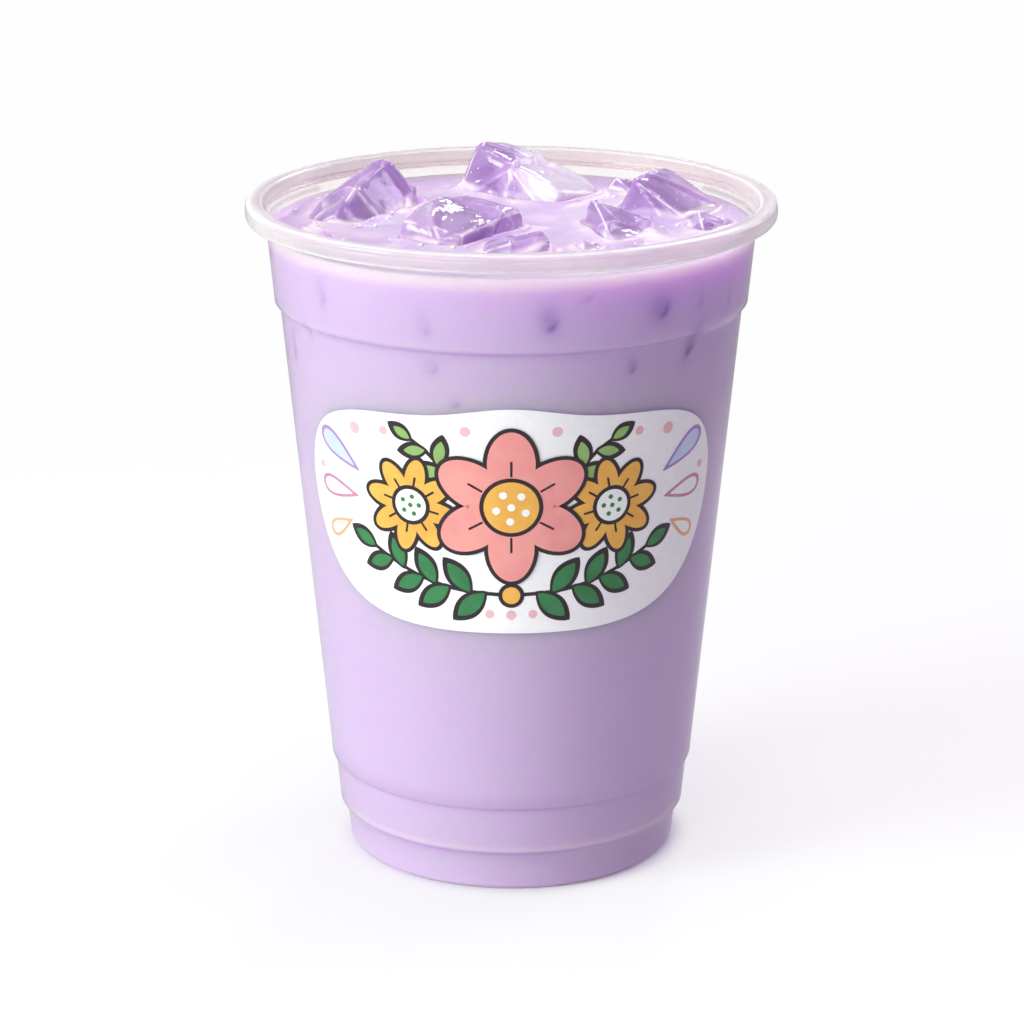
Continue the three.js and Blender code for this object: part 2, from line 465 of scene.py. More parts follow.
def ice_material():
    material, tree, surface = new_material("ice")
    waves = noise_texture(tree, 300.0, detail=2.0)
    clouds = noise_texture(tree, 75.0, detail=2.0, roughness=0.5, distortion=0.8)
    streaks = noise_texture(tree, 95.0, detail=1.0, roughness=0.5, distortion=0.5)
    rough = maths(tree, "ADD", times(tree, waves, 0.6), clouds)
    relief = bump(tree, rough, distance=0.0012, strength=0.45)
    pale = attribute(tree, "pale")
    dim, bright = rgb(174, 140, 194), rgb(208, 184, 220)
    clear_ice = principled(tree, {
        "Base Color": mix_colour(tree, pale, rgb(202, 174, 220), rgb(246, 240, 248)),
        "Roughness": 0.04,
        "IOR": 1.31,
        "Transmission Weight": 1.0,
        "Normal": relief,
    })
    depth = maths(tree, "ADD", times(tree, attribute(tree, "facet"), 0.5), clouds)
    tinted = mix_colour(tree, ramp(tree, depth, 0.5, 1.1), dim, bright)
    cloudy_ice = principled(tree, {
        "Base Color": mix_colour(tree, pale, tinted, rgb(238, 230, 240)),
        "Roughness": 0.06,
        "Subsurface Weight": 0.8,
        "Subsurface Radius": (1.0, 0.7, 1.1),
        "Subsurface Scale": 0.004,
        "Normal": relief,
    })
    body = mix_shader(tree, attribute(tree, "tint"), clear_ice, cloudy_ice)
    # Milk clings to the foot of each cube in uneven streaks, and thin white lines on the ridges are
    # painted highlights
    reach = times(tree, maths(tree, "SUBTRACT", streaks, 0.4), 8.0)
    film = ramp(tree, maths(tree, "SUBTRACT", reach, attribute(tree, "above")), -0.5, 0.7)
    edges = times(tree, attribute(tree, "ridge_highlights"), ramp(tree, waves, 0.38, 0.55))
    film_colour = mix_colour(tree, ramp(tree, clouds, 0.4, 0.62), bright, rgb(236, 218, 226))
    coating = principled(tree, {
        "Base Color": mix_colour(tree, edges, film_colour, rgb(248, 242, 250)),
        "Roughness": 0.12,
        "Subsurface Weight": 0.5,
        "Subsurface Radius": (1.0, 0.7, 1.1),
        "Subsurface Scale": 0.002,
        "Normal": relief,
    })
    coated = mix_shader(tree, maths(tree, "MAXIMUM", film, edges), body, coating)
    tree.links.new(clear_to_lamps(tree, coated, rgb(232, 216, 240)), surface)
    return material


def bubble_material():
    material, tree, surface = new_material("bubbles")
    shine = noise_texture(tree, 900.0, detail=1.0)
    shader = principled(tree, {
        "Base Color": mix_colour(tree, shine, rgb(240, 230, 244), rgb(255, 252, 255)),
        "Roughness": 0.04,
        "IOR": 1.45,
        "Subsurface Weight": 0.6,
        "Subsurface Radius": (1.0, 0.9, 1.0),
        "Subsurface Scale": 0.001,
    })
    tree.links.new(shader, surface)
    return material


def paper_material():
    material, tree, surface = new_material("sticker_paper")
    fibre = noise_texture(tree, 700.0, detail=4.0, roughness=0.6)
    tone = mix_colour(tree, ramp(tree, fibre, 0.3, 0.7), rgb(247, 243, 249), rgb(252, 249, 252))
    shader = principled(tree, {
        "Base Color": tone,
        "Roughness": 0.42,
        "Normal": bump(tree, fibre, distance=0.00003, strength=0.6),
    })
    tree.links.new(shader, surface)
    return material


def ink_material(name, light, dark):
    """Printed ink: two close tones that mottle into each other."""
    material, tree, surface = new_material(name)
    mottle = noise_texture(tree, 190.0, detail=3.0, roughness=0.6)
    shader = principled(tree, {
        "Base Color": mix_colour(tree, ramp(tree, mottle, 0.35, 0.65), rgb(*light), rgb(*dark)),
        "Roughness": 0.38,
    })
    tree.links.new(shader, surface)
    return material


# The cup

def curl_profile(parts=52):
    """The rolled rim as a curled sheet, hollow inside: its inner face, its edge and its outer face."""
    rising = [(NECK_TOP[0] + 0.12, NECK_TOP[1] + 1.0), (NECK_TOP[0] + 0.42, NECK_TOP[1] + 1.8)]
    inner = arc(CURL_MIDDLE, ROLL_RADIUS - CURL_SHEET, 185, -118, parts)
    outer = []
    for angle in np.radians(np.linspace(-125, 150, parts + 1)):
        across, up = math.cos(angle), math.sin(angle)
        reach = ROLL_RADIUS / (abs(across) ** CURL_POWER + abs(up) ** CURL_POWER) ** (1 / CURL_POWER)
        reach -= GROOVE_DEPTH * math.exp(-((math.degrees(angle) - GROOVE_ANGLE) / GROOVE_WIDTH) ** 2)
        outer.append((CURL_MIDDLE[0] + reach * across, CURL_MIDDLE[1] + reach * up))
    return [*rising, *inner, *outer]


def make_cup():
    around, longest = 320, 2.0
    outside = [
        (RECESS_RADIUS - 1, RECESS_HEIGHT),
        (RECESS_RADIUS, RECESS_HEIGHT),
        (RING_INNER, 0),
        *arc((FOOT_EDGE - FOOT_CORNER, FOOT_CORNER), FOOT_CORNER, -90, 0, 8),
        *whole_wall(0),
    ]
    lip = curl_profile()
    neck = (NECK_TOP[0] - WALL_THICKNESS, NECK_TOP[1])
    flare = bent(lip[-1], (neck[0] + 0.2, neck[1] + 2.2), neck, 8)
    inside = whole_wall(WALL_THICKNESS)[::-1]
    floor_top = RECESS_HEIGHT + WALL_THICKNESS
    round_off = 1.5
    corner_middle = (FOOT_EDGE - WALL_THICKNESS - round_off, floor_top + round_off)
    corner = arc(corner_middle, round_off, 0, -90, 6)
    profile = dense([*outside, *lip, *flare, *inside, *corner], longest)
    points = turned(profile, around)
    faces = ring_grid(len(profile), around)
    points, faces = caps(points, faces, len(profile), around, RECESS_HEIGHT, floor_top)
    cup = piece_of_points("cup_wall", points, faces, materials["cup"])
    reach = np.hypot(points[:, 0], points[:, 1])
    roll = smoothstep(NECK_TOP[1], NECK_TOP[1] + 1.2, points[:, 2])
    out, up = reach - CURL_MIDDLE[0], points[:, 2] - CURL_MIDDLE[1]
    outer = (np.abs(np.hypot(up, out) - ROLL_RADIUS) < 0.45) * roll
    angle = np.degrees(np.arctan2(up, out))
    # Painted highlight lines round the rim's bends, which join the rim's haze in one attribute
    haze_and_highlights = sum(np.exp(-((angle - place) / HIGHLIGHT_WIDTH) ** 2) for place in RIM_HIGHLIGHT_BENDS)
    point_values(cup, "roll", 0.9 * roll)
    point_values(cup, "outer", outer)
    # The rim is a little whiter outside than inside, and on its bends it has painted highlight lines
    whiter = smoothstep(45.3, 46.2, reach)
    point_values(cup, "haze_and_highlights", outer * (0.12 + 0.28 * whiter + 0.55 * haze_and_highlights))
    belongs(cup, "clear_cup", "cup")


# The ice

def ice_turn(vector):
    turn = Vector(vector)
    return np.array(Quaternion(turn.normalized(), turn.length).to_matrix())


def cube_gauge(scaled):
    """1 on a cube's melted surface, for points in units of its half sizes; less means inside."""
    return (np.abs(scaled) ** ICE_POWER).sum(-1) ** (1 / ICE_POWER)


def ice_distance(points, cube):
    """How far points lie outside a cube's melted surface, negative inside, in millimetres."""
    half, centre, vector = cube
    local = (points - np.array(centre)) @ ice_turn(vector)
    gauge = np.maximum(cube_gauge(local / np.array(half)), 1e-6)
    return np.linalg.norm(local, axis=-1) * (1 - 1 / gauge)


def cube_grid(parts):
    """Points and faces of a cube from -1 to 1, each side cut into equal angles from its middle."""
    steps = np.tan(np.linspace(-math.pi / 4, math.pi / 4, parts + 1))
    a, b = np.meshgrid(steps, steps, indexing="ij")
    sides, faces = [], []
    for axis in range(3):
        for direction in (-1, 1):
            first = len(sides) * a.size
            side = np.empty((*a.shape, 3))
            side[..., axis] = direction
            side[..., (axis + 1) % 3] = a * direction
            side[..., (axis + 2) % 3] = b
            sides.append(side.reshape(-1, 3))
            for i in range(parts):
                for j in range(parts):
                    k = first + i * (parts + 1) + j
                    faces.append((k, k + parts + 1, k + parts + 2, k + 1))
    return np.vstack(sides), faces


def make_ice(index, cube):
    """One melted cube, with scoops between ridges. Gives back the spots on it that can hold bubbles."""
    half, centre, vector = (np.array(part) for part in cube)
    mean = half.mean()
    unit, faces = cube_grid(int(np.clip(half.max() * 4.6, 16, 60)))
    plain = unit / cube_gauge(unit)[:, None] * half
    local = plain * ICE_GROWTH
    scaled = np.abs(local / half)
    by_size = np.sort(scaled, axis=1)
    edge_gap = (by_size[:, 2] - by_size[:, 1]) * mean
    outward = np.sign(local) * scaled ** (ICE_POWER - 1) / half
    outward /= np.linalg.norm(outward, axis=1)[:, None]
    # Each scoop lies round a random point of the surface, and ridges stay between the scoops
    cells = random.uniform(-1, 1, (SCOOPS, 3))
    cells /= np.abs(cells).max(1)[:, None]
    cells *= half
    away = np.linalg.norm(local[:, None] - cells[None], axis=2)
    away.sort(axis=1)
    gap = away[:, 1] - away[:, 0]
    scoop = smoothstep(0.0, 0.22 * mean, gap)
    phase = random.uniform(0, 6.28, 6)
    wave = sum(np.sin(local[:, i % 3] * (0.55 + 0.2 * i) + phase[i]) for i in range(6)) / 6
    local = local - outward * (SCOOP_DEPTH * mean * scoop + WAVE_DEPTH * (1 + wave))[:, None]
    points = local @ ice_turn(vector).T + centre
    ice = piece_of_points(f"ice_cube_{index}", points, faces, materials["ice"])
    # Painted highlights: thin white lines along the ridges between scoops and along the cube's edges
    scoop_ridge_highlights = 0.45 * np.exp(-(gap / (0.035 * mean)) ** 2)
    point_values(ice, "ridge_highlights", np.maximum(scoop_ridge_highlights, 0.9 * np.exp(-(edge_gap / HIGHLIGHT_EDGE_WIDTH) ** 2)))
    # Each scoop has its own depth of colour
    shades = np.random.default_rng(index).uniform(0, 1, SCOOPS)
    nearest_cell = np.linalg.norm(plain - cells[:, None], axis=2).argmin(0)
    point_values(ice, "facet", shades[nearest_cell])
    point_values(ice, "above", points[:, 2] - MILK_LEVEL)
    # The pale cube has a dark end on its left
    pale = smoothstep(-3.0, 1.5, points[:, 0] - centre[0]) * (index == PALE_CUBE)
    point_values(ice, "pale", pale)
    point_values(ice, "tint", 0.55 + 0.25 * pale)
    weld(ice)
    belongs(ice, "ice", f"ice_{index}")
    # Bubbles sit clear of the milk, on the sides that don't face the back
    lowest = (MILK_LEVEL + 1.2) * MM
    return [
        (vertex.co.copy(), vertex.normal.copy())
        for vertex in ice.data.vertices
        if vertex.co.z > lowest and vertex.normal.y < 0.3
    ]


# The milk

def value_noise(points, scale, seed):
    """Smooth noise from 0 to 1 at many points of a plane, the same on every run."""
    size = 64
    table = np.random.default_rng(seed).random((size, size))
    place = points / scale
    cell = np.floor(place).astype(int)
    part = smoothstep(0, 1, place - cell)
    x0, y0 = cell[..., 0] % size, cell[..., 1] % size
    x1, y1 = (x0 + 1) % size, (y0 + 1) % size
    low = table[x0, y0] * (1 - part[..., 0]) + table[x1, y0] * part[..., 0]
    high = table[x0, y1] * (1 - part[..., 0]) + table[x1, y1] * part[..., 0]
    return low * (1 - part[..., 1]) + high * part[..., 1]


def surface_height(plane, edge_radius):
    """The height of the milk's surface, and how far each point is from the ice and the wall."""
    at_level = np.column_stack([plane, np.full(len(plane), MILK_LEVEL)])
    distances = np.stack([ice_distance(at_level, cube) for cube in ICE_CUBES])
    nearest = distances.min(0)
    outside = np.maximum(distances, 0)
    climb = 1 - np.prod(1 - 0.75 * np.exp(-outside / 1.2), axis=0)
    swell = 1 - np.prod(1 - 0.5 * np.exp(-outside / 4.0), axis=0)
    edge = edge_radius - np.linalg.norm(plane, axis=1)
    height = MILK_LEVEL - OPEN_DROP + ICE_CLIMB * climb + ICE_SWELL * swell
    height += WALL_CLIMB * np.exp(-edge / 1.3)
    height += 0.7 * (value_noise(plane, 5.0, 3) - 0.5) * smoothstep(0, 4, edge)
    pocket = np.minimum(nearest + 0.35, 0) * 1.7
    return height + np.maximum(pocket, -POCKET_DEPTH), nearest, edge


def sunk_ice_shade(points):
    """How dark the milk is where a corner of sunk ice nearly touches the wall."""
    angle = np.degrees(np.arctan2(points[:, 0], -points[:, 1]))
    shade = np.zeros(len(points))
    for place, height, width, tall, lean, dark in SUNK_CORNERS:
        along = ((angle - place + 180) % 360 - 180) * math.pi / 180 * wall_radius(height)
        up = points[:, 2] - height
        tilt = math.radians(lean)
        u = (along * math.cos(tilt) + up * math.sin(tilt)) / width
        v = (up * math.cos(tilt) - along * math.sin(tilt)) / tall
        # A soft patch with one crisp edge low on its right, where a cube's edge is nearest
        reach = np.hypot(u, v)
        patch = 0.5 * np.exp(-0.9 * reach ** 2)
        towards = smoothstep(0.1, 1.0, (0.5 * u - 0.87 * v) / np.maximum(reach, 0.05))
        crease = 0.6 * np.exp(-((reach - 0.55) / 0.2) ** 2) * towards
        shade = np.maximum(shade, dark * (patch + crease))
    return shade


def side_colours(points):
    """How creamy, how peach and how dark the milk is where it lies behind the wall, with painted
    highlights and painted shade along the moulded edges.
    """
    # Seen through the wall, the top of the milk is a pale band that softly ends
    lip = smoothstep(EDGE_HEIGHT - 3.4, EDGE_HEIGHT - 1.0, points[:, 2])
    cream, peach, shade = 0.6 * lip, 0.35 * lip, sunk_ice_shade(points)
    # Each moulded edge gets a painted highlight on it and a painted shade under it
    for edge_at, pale, dark in MOULDED_EDGES:
        above = points[:, 2] - edge_at
        cream += pale * np.exp(-((above - 0.45) / 0.6) ** 2) * (above > 0)
        shade += dark * np.exp(-((above + 0.35) / 0.3) ** 2)
    return cream, peach, shade


def surface_colours(plane, nearest, edge):
    """How creamy and how peach the open surface is: swirls, with more of both near the ice."""
    bend = np.column_stack([value_noise(plane, 8.0, 5), value_noise(plane, 8.0, 6)])
    swirl = value_noise(plane + 9 * bend, 6.0, 11)
    fine = value_noise(plane + 6 * bend, 2.6, 12)
    near_ice = np.exp(-np.abs(nearest) / 1.3) * (nearest > -0.4)
    cream = np.clip(0.36 + 0.3 * near_ice + 1.1 * (swirl - 0.5), 0, 0.9) * smoothstep(0, 7, edge)
    peach = 0.8 * smoothstep(0.55, 0.9, fine * 0.35 + swirl * 0.35 + 0.4 * near_ice)
    # A pale line where the milk meets the wall
    wall_line = 0.4 * np.exp(-edge / 0.6)
    return cream, np.maximum(peach * smoothstep(0, 5, edge), wall_line)


def make_milk():
    around, rings = 416, 80
    bottom, low, round_off = RECESS_HEIGHT + MILK_INSET, 0.3, 0.9
    corner = arc((FOOT_EDGE - MILK_INSET - round_off, low + round_off), round_off, -90, 0, 6)
    foot = [(RECESS_RADIUS, bottom), (RING_INNER + 0.8, low), *corner, *foot_bands(MILK_INSET)]
    # The wall is cut finely below and above, where colours change along it, and not between
    fine_from = 84
    lower = dense(foot, 0.5)
    main = dense([foot[-1], (wall_radius(fine_from) - MILK_INSET, fine_from)], 2.5)[1:]
    edge_radius = float(wall_radius(EDGE_HEIGHT)) - MILK_INSET
    upper = dense([main[-1], *neck_band(MILK_INSET), (edge_radius, EDGE_HEIGHT)], 0.55)[1:]
    side = [*lower, *main, *upper]
    side_points = turned(side, around)
    radii = edge_radius * (1 - np.linspace(0, 1, rings + 1)[1:-1] ** 0.92)
    open_points = turned([(radius, 0) for radius in radii], around)
    heights, nearest, edge = surface_height(open_points[:, :2], edge_radius)
    open_points[:, 2] = heights
    rows = len(side) + len(radii)
    centre_height = float(heights[-around:].mean())
    points = np.vstack([side_points, open_points])
    points, faces = caps(points, ring_grid(rows, around), rows, around, bottom, centre_height)
    milk = piece_of_points("milk", points, faces, materials["milk"])
    # The last two points are the middles of the underside and of the open surface
    side_cream_and_edge_highlights, side_peach, side_shade = side_colours(side_points)
    open_cream, open_peach = surface_colours(open_points[:, :2], nearest, edge)
    open_surface = np.concatenate([np.zeros(len(side_points)), np.ones(len(open_points)), [0, 1]])
    point_values(milk, "cream", np.concatenate([side_cream_and_edge_highlights, open_cream, [0, 0]]))
    point_values(milk, "peach", np.concatenate([side_peach, open_peach, [0, 0]]))
    point_values(milk, "sunk_ice_and_edge_shade", np.concatenate([side_shade, np.zeros(len(open_points) + 2)]))
    point_values(milk, "open_surface", open_surface)
    # Light spreads less far in the milk at the open surface and at the foot
    foot_share = smoothstep(10, 3, points[:, 2]) * (1 - open_surface)
    point_values(milk, "light_spread", 1 - 0.82 * open_surface - 0.8 * foot_share)
    belongs(milk, "taro_milk", "drink")


def make_bubbles(ice_spots):
    """Small bubbles that gather where the milk meets the ice, and a few on the ice."""
    shape = bmesh.new()
    reach, edge_radius = 41, 43.0
    made = 0
    while made < MILK_BUBBLES:
        plane = random.uniform(-reach, reach, (1, 2))
        radius = random.uniform(0.16, 0.42)
        height, nearest, edge = surface_height(plane, edge_radius)
        if edge[0] < 1.0 or not -0.2 < nearest[0] < random.exponential(1.5):
            continue
        made += 1
        ball = bmesh.ops.create_icosphere(shape, subdivisions=2, radius=radius * MM)
        place = Vector((*plane[0], height[0] + 0.35 * radius)) * MM
        for vertex in ball["verts"]:
            vertex.co.z *= 0.75
            vertex.co += place
    for index in random.choice(len(ice_spots), ICE_BUBBLES, replace=False):
        spot, normal = ice_spots[index]
        radius = random.uniform(0.1, 0.26) * MM
        ball = bmesh.ops.create_icosphere(shape, subdivisions=1, radius=radius)
        for vertex in ball["verts"]:
            vertex.co += spot + 0.2 * radius * normal
    belongs(piece_of_shape("bubbles", shape, materials["bubbles"]), "taro_milk")


# The sticker

def on_wall(across, up, lift):
    """A point of the flat sticker, in millimetres from its middle, bent round the wall."""
    angle = np.asarray(across) / float(wall_radius(STICKER_MIDDLE))
    height = STICKER_MIDDLE + np.asarray(up)
    radius = wall_radius(height) + lift
    return np.stack([radius * np.sin(angle), -radius * np.cos(angle), height], -1)


def sticker_top(along):
    shoulders = np.sqrt(np.maximum(0, 1 - along ** 6))
    return END_RISE + (TOP_RISE - END_RISE) * shoulders + TOP_SWELL * np.exp(-(along / 0.26) ** 2)


def sticker_foot(along):
    return END_RISE - (END_RISE + FOOT_DROP) * np.sqrt(np.maximum(0, 1 - along ** 4))


def make_paper():
    """The sticker's sheet: two faces that follow the wall, closed along their edges."""
    columns, rows = 180, 14
    along = -np.cos(math.pi * np.arange(1, columns) / columns)
    low, high = sticker_foot(along), sticker_top(along)
    up = low[:, None] + (high - low)[:, None] * np.linspace(0, 1, rows)[None]
    across = np.broadcast_to((along * STICKER_LENGTH / 2)[:, None], up.shape)
    back = on_wall(across, up, PAPER_LIFT).reshape(-1, 3)
    front = on_wall(across, up, PAPER_LIFT + PAPER_THICKNESS).reshape(-1, 3)
    points = np.vstack([back, front])
    last, size = len(along) - 1, len(back)
    faces = []
    for i in range(last):
        for j in range(rows - 1):
            k = i * rows + j
            faces.append((size + k, size + k + rows, size + k + rows + 1, size + k + 1))
            faces.append((k, k + 1, k + rows + 1, k + rows))
        for j in (0, rows - 1):
            k = i * rows + j
            faces.append((k, k + rows, size + k + rows, size + k))
    for i in (0, last):
        for j in range(rows - 1):
            k = i * rows + j
            faces.append((k, k + 1, size + k + 1, size + k))
    paper = piece_of_points("sticker_paper", points, faces, materials["paper"], smooth=False)
    weld(paper)
    belongs(paper, "sticker", "label")


# Flat outlines for the print, in millimetres from the sticker's middle, with angles in degrees

def beside(place, distance, turn):
    """The point at a distance from a place, in the direction of an angle."""
    a = math.radians(turn)
    return (place[0] + distance * math.cos(a), place[1] + distance * math.sin(a))


def set_down(x, y, place, turn):
    """Flat points turned by an angle and moved to a place."""
    c, s = math.cos(math.radians(turn)), math.sin(math.radians(turn))
    return np.stack([place[0] + x * c - y * s, place[1] + x * s + y * c], -1)


def ellipse(centre, size, turn=0.0, points=40, point_end=0.0):
    """An oval outline; point_end above 0 pulls its far end into a tip."""
    t = np.linspace(0, 2 * math.pi, points, endpoint=False)
    x = size[0] * np.cos(t)
    y = size[1] * np.sin(t) * (1 - point_end * (0.5 + 0.5 * np.cos(t)))
    return set_down(x, y, centre, turn)


def disc(centre, radius, points=40):
    return ellipse(centre, (radius, radius), points=points)


def leaf(base, length, width, turn):
    """A leaf outline with two pointed ends, from its base along its turn."""
    t = np.linspace(0, 1, 16)
    side = width / 2 * np.sin(math.pi * t) ** 0.8
    x = np.concatenate([t, t[::-1][1:-1]]) * length
    y = np.concatenate([side, -side[::-1][1:-1]])
    return set_down(x, y, base, turn)


def pen_end(middle, heading, width):
    """The round end of a pen line that runs in the direction of a heading."""
    angles = math.atan2(heading[1], heading[0]) + np.linspace(math.pi / 2, -math.pi / 2, 8)[1:-1]
    return middle + width / 2 * np.stack([np.cos(angles), np.sin(angles)], -1)


def stroke(line, width):
    """The outline of a line drawn with a round pen."""
    line = np.asarray(line, float)
    along = np.gradient(line, axis=0)
    along /= np.linalg.norm(along, axis=1)[:, None]
    side = np.stack([-along[:, 1], along[:, 0]], -1) * width / 2
    end, start = pen_end(line[-1], along[-1], width), pen_end(line[0], -along[0], width)
    return np.vstack([line + side, end, (line - side)[::-1], start])


class Print:
    """Gathers flat outlines by ink, each on its own thin layer."""

    def __init__(self):
        self.shapes = {}
        self.side = 1

    def draw(self, ink, outline, layer):
        """Adds an outline; on side -1 it is mirrored to the left half."""
        self.shapes.setdefault(ink, []).append((np.asarray(outline) * (self.side, 1), layer))

    def make(self):
        for ink, outlines in self.shapes.items():
            shape = bmesh.new()
            for outline, layer in outlines:
                self.add_outline(shape, outline, layer)
            belongs(piece_of_shape(f"print_{ink}", shape, materials[ink]), "sticker")

    @staticmethod
    def add_outline(shape, outline, layer):
        """Fills an outline, cuts it into narrow strips and bends it round the wall."""
        flat = bmesh.new()
        flat.faces.new([flat.verts.new((x, y, 0)) for x, y in outline])
        bmesh.ops.triangulate(flat, faces=flat.faces[:])
        left, right = outline[:, 0].min(), outline[:, 0].max()
        for cut in np.arange(math.ceil(left), math.floor(right) + 1, 1.0):
            bmesh.ops.bisect_plane(
                flat,
                geom=flat.verts[:] + flat.edges[:] + flat.faces[:],
                dist=1e-5,
                plane_co=(cut, 0, 0),
                plane_no=(1, 0, 0),
            )
        bmesh.ops.triangulate(flat, faces=flat.faces[:])
        bmesh.ops.recalc_face_normals(flat, faces=flat.faces[:])
        lift = PAPER_LIFT + PAPER_THICKNESS + INK_STEP * (layer + 1)
        made = {}
        for vertex in flat.verts:
            place = on_wall(vertex.co.x, vertex.co.y, lift) * MM
            made[vertex] = shape.verts.new(place.tolist())
        for face in flat.faces:
            corners = [made[vertex] for vertex in face.verts]
            if face.normal.z < 0:
                corners.reverse()
            shape.faces.new(corners)
        flat.free()


def blossom(art, centre, size, petals, ink, heart, seed, turn=0.0, layer=0):
    """A round-petalled flower with a dark line, a heart and seeds."""
    turns = [turn + 360 * i / petals for i in range(petals)]
    long, wide, heart_radius = 0.44 * size, 1.75 * size / petals, 0.34 * size
    for angle in turns:
        middle = beside(centre, 0.56 * size, angle)
        art.draw("dark", ellipse(middle, (long + LINE, wide + LINE), angle), layer)
        art.draw(ink, ellipse(middle, (long, wide), angle), layer + 1)
    art.draw(ink, disc(centre, 0.52 * size), layer + 2)
    for angle in turns:
        crease = [beside(centre, share * size, angle) for share in (0.42, 0.51, 0.6)]
        art.draw("dark", stroke(crease, CREASE), layer + 3)
    art.draw("dark", disc(centre, heart_radius + LINE), layer + 4)
    art.draw(heart, disc(centre, heart_radius), layer + 5)
    for i in range(5):
        place = beside(centre, 0.19 * size, turn + 72 * i + 20)
        art.draw(seed, disc(place, 0.05 * size, points=14), layer + 6)
    art.draw(seed, disc(centre, 0.05 * size, points=14), layer + 6)


def sprig(art, base, reach, turn, bow, ink, leaves, size, layer=0):
    """A curved stem with leaves in turn on its two sides and one at its tip."""
    parts = 20
    t = np.linspace(0, 1, parts + 1)
    line = set_down(reach * t, bow * reach * np.sin(math.pi * t), base, turn)
    art.draw("dark", stroke(line, STEM), layer)
    for i in range(leaves + 1):
        share = 0.16 + 0.84 * i / leaves
        spot = int(share * parts)
        ahead = line[min(spot + 1, parts)] - line[spot - 1]
        side = 0 if i == leaves else (46 if i % 2 else -46)
        heading = math.degrees(math.atan2(ahead[1], ahead[0])) + side
        length = size * (1.1 - 0.35 * share)
        width = 0.46 * length
        start = beside(line[spot], -0.6, heading)
        art.draw("dark", leaf(start, length + 1.2 + LINE, width + 2 * LINE, heading), layer + 1)
        art.draw(ink, leaf(line[spot], length, width, heading), layer + 2)


def make_print():
    """A spray of flowers over a leafy garland, with drops at both ends."""
    art = Print()
    drops = (
        ((33.0, 9.8), (5.6, 3.1), 212, "lavender", "ice_blue"),
        ((34.0, 2.4), (5.0, 2.8), 184, "mauve", "white"),
        ((34.4, -4.6), (3.8, 2.3), 152, "peach", "white"),
    )
    dots = ((28.6, 14.8, 1.1), (7.6, 16.8, 0.9), (22.4, 15.4, 0.8), (3.9, -16.9, 0.8), (38.6, 5.9, 0.7))
    for side in (-1, 1):
        art.side = side
        sprig(art, (0.8, -13.2), 26.0, 15, -0.07, "green", 7, 6.4)
        sprig(art, (10.6, 6.6), 10.5, 50, 0.1, "leaf", 3, 4.6)
        for spot, size, angle, line_ink, fill in drops:
            art.draw(line_ink, ellipse(spot, size, angle, point_end=0.8), 0)
            inner = (size[0] - 1.15, size[1] - 0.85)
            art.draw(fill, ellipse(beside(spot, -0.35, angle), inner, angle, point_end=0.8), 1)
        blossom(art, (17.8, 2.4), 8.6, 8, "orange", "white", "green", 12, 3)
        for x, y, radius in dots:
            art.draw("blush", disc((x, y), radius, points=20), 0)
    art.side = 1
    blossom(art, (0, 3.2), 13.8, 6, "pink", "orange", "white", 30, 10)
    berry, berry_radius = (0, -13.3), 1.6
    art.draw("dark", disc(berry, berry_radius + LINE), 3)
    art.draw("orange", disc(berry, berry_radius), 4)
    art.draw("blush", disc((0, -17.0), 0.9, points=20), 0)
    art.make()


# Light, floor and camera

def make_lamps():
    for name, place, target, size, power, colour in LAMPS:
        data = bpy.data.lights.new(name, "AREA")
        data.shape, data.size, data.energy, data.color = "DISK", size, power, colour
        lamp = bpy.data.objects.new(name, data)
        lamp.location = place
        lamp.rotation_euler = (Vector(target) - Vector(place)).to_track_quat("-Z", "Y").to_euler()
        bpy.context.scene.collection.objects.link(lamp)


def make_floor():
    """A pale floor that fades into the white of the room away from the cup."""
    material, tree, surface = new_material("floor")
    grain = noise_texture(tree, 40.0, detail=3.0)
    matt = principled(tree, {
        "Base Color": mix_colour(tree, grain, (0.90, 0.90, 0.90, 1), (0.915, 0.915, 0.915, 1)),
        "Roughness": 0.6,
        "Specular IOR Level": 0.1,
    })
    place = add(tree, "ShaderNodeTexCoord").outputs["Object"]
    away = add(tree, "ShaderNodeVectorMath", {0: place}, operation="LENGTH").outputs["Value"]
    seen = seen_directly(tree, add(tree, "ShaderNodeLightPath").outputs)
    glow = maths(tree, "ADD", times(tree, seen, 0.59), 0.4)
    white = add(tree, "ShaderNodeEmission", {"Color": (1, 1, 1, 1), "Strength": glow}).outputs[0]
    near = times(tree, ramp(tree, away, 0.029, 0.034), 0.6)
    share = maths(tree, "MAXIMUM", ramp(tree, away, 0.04, 0.35), near)
    tree.links.new(mix_shader(tree, share, matt, white), surface)
    r = FLOOR_REACH
    corners = [(-r, -r, 0), (r, -r, 0), (r, r, 0), (-r, r, 0)]
    floor = piece_of_points("floor", corners, [(0, 1, 2, 3)], material, smooth=False)


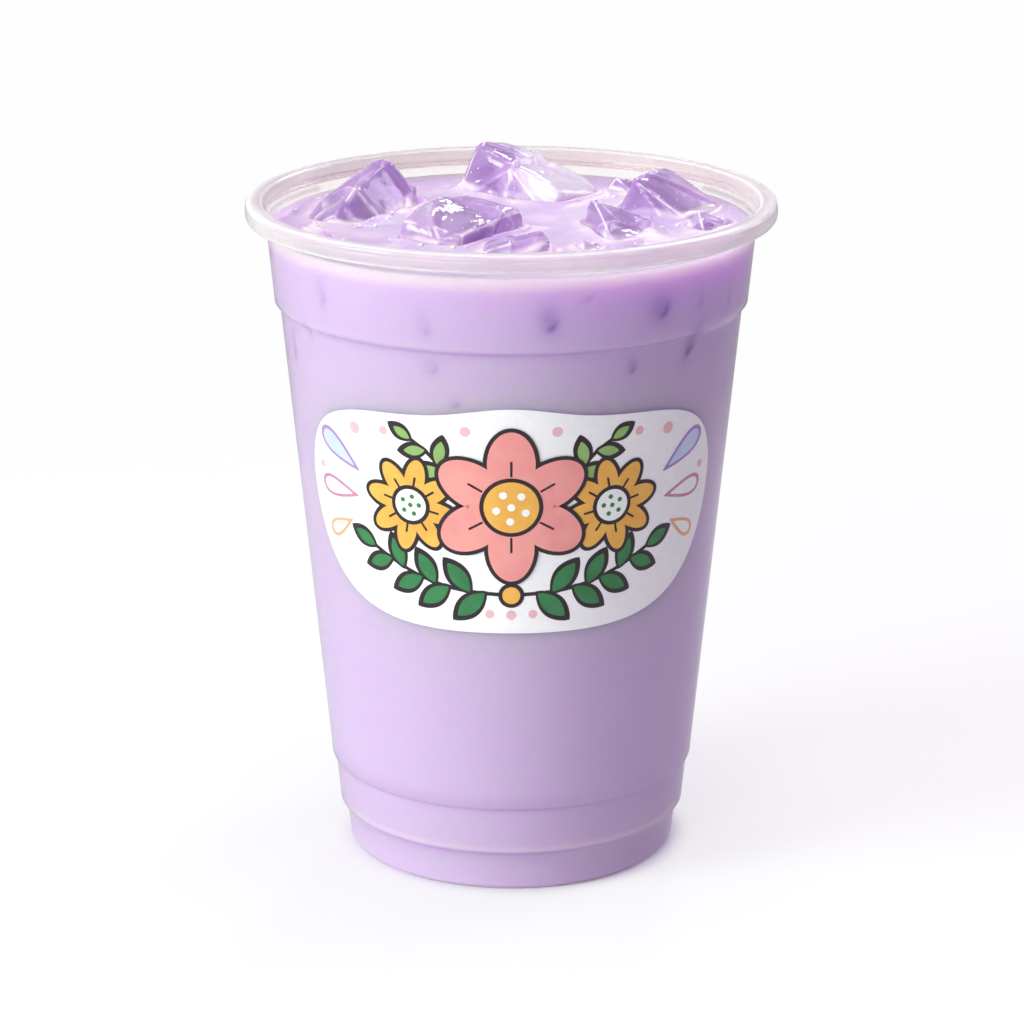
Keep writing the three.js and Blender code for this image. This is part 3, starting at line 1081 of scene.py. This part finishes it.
def make_room():
    """A white room, brighter on the left, that looks brighter than the light it gives."""
    world = bpy.data.worlds.new("studio")
    bpy.context.scene.world = world
    world.use_nodes = True
    tree = world.node_tree
    tree.nodes.clear()
    direction = add(tree, "ShaderNodeTexCoord").outputs["Generated"]
    across = add(tree, "ShaderNodeSeparateXYZ", {"Vector": direction}).outputs["X"]
    given = maths(tree, "SUBTRACT", 0.31, times(tree, across, 0.16))
    path = add(tree, "ShaderNodeLightPath").outputs
    mirrored = times(tree, path["Is Glossy Ray"], 0.65)
    seen = maths(tree, "MAXIMUM", seen_directly(tree, path), mirrored)
    strength = maths(tree, "ADD", given, times(tree, seen, 0.9))
    tone = mix_colour(tree, times(tree, seen, 1.6), (1.03, 0.79, 1.21, 1), (1, 1, 1, 1))
    background = add(tree, "ShaderNodeBackground", {"Color": tone, "Strength": strength})
    output = add(tree, "ShaderNodeOutputWorld")
    tree.links.new(background.outputs[0], output.inputs["Surface"])


def make_camera():
    scene = bpy.context.scene
    data = bpy.data.cameras.new("camera")
    data.lens, data.sensor_width = CAMERA_LENS, SENSOR_WIDTH
    camera = bpy.data.objects.new("camera", data)
    off_axis = (FRAME_PIXELS / 2 - AXIS_PIXEL) / FRAME_PIXELS
    sideways = off_axis * SENSOR_WIDTH / CAMERA_LENS * CAMERA_DISTANCE
    camera.location = (sideways * MM, -CAMERA_DISTANCE * MM, CAMERA_HEIGHT * MM)
    camera.rotation_euler = (math.radians(90 - CAMERA_PITCH), 0, 0)
    scene.collection.objects.link(camera)
    scene.camera = camera
    scene.view_settings.view_transform = "Standard"
    scene.view_settings.look = "None"
    scene.cycles.max_bounces = 8
    scene.cycles.transmission_bounces = 8
    scene.cycles.transparent_max_bounces = 12


materials = {
    "cup": cup_material(),
    "milk": milk_material(),
    "ice": ice_material(),
    "bubbles": bubble_material(),
    "paper": paper_material(),
    "dark": ink_material("ink_dark", (38, 26, 34), (46, 34, 40)),
    "white": ink_material("ink_white", (250, 249, 248), (247, 246, 246)),
    "peach": ink_material("ink_peach", (240, 178, 140), (234, 168, 132)),
    "mauve": ink_material("ink_mauve", (206, 138, 176), (198, 130, 170)),
    "ice_blue": ink_material("ink_ice_blue", (206, 214, 242), (198, 208, 238)),
    "orange": ink_material("ink_orange", (244, 184, 88), (238, 172, 78)),
    "pink": ink_material("ink_pink", (244, 160, 156), (240, 150, 150)),
    "blush": ink_material("ink_blush", (240, 190, 196), (236, 182, 192)),
    "green": ink_material("ink_green", (56, 128, 78), (48, 116, 70)),
    "leaf": ink_material("ink_leaf", (150, 184, 110), (140, 176, 104)),
    "lavender": ink_material("ink_lavender", (176, 140, 206), (168, 132, 200)),
}

make_floor()
make_room()
make_lamps()
make_camera()
make_cup()
bubble_spots = []
for number, ice_cube in enumerate(ICE_CUBES, start=1):
    bubble_spots += make_ice(number, ice_cube)
make_milk()
make_bubbles(bubble_spots)
make_paper()
make_print()

bpy.context.view_layer.update()
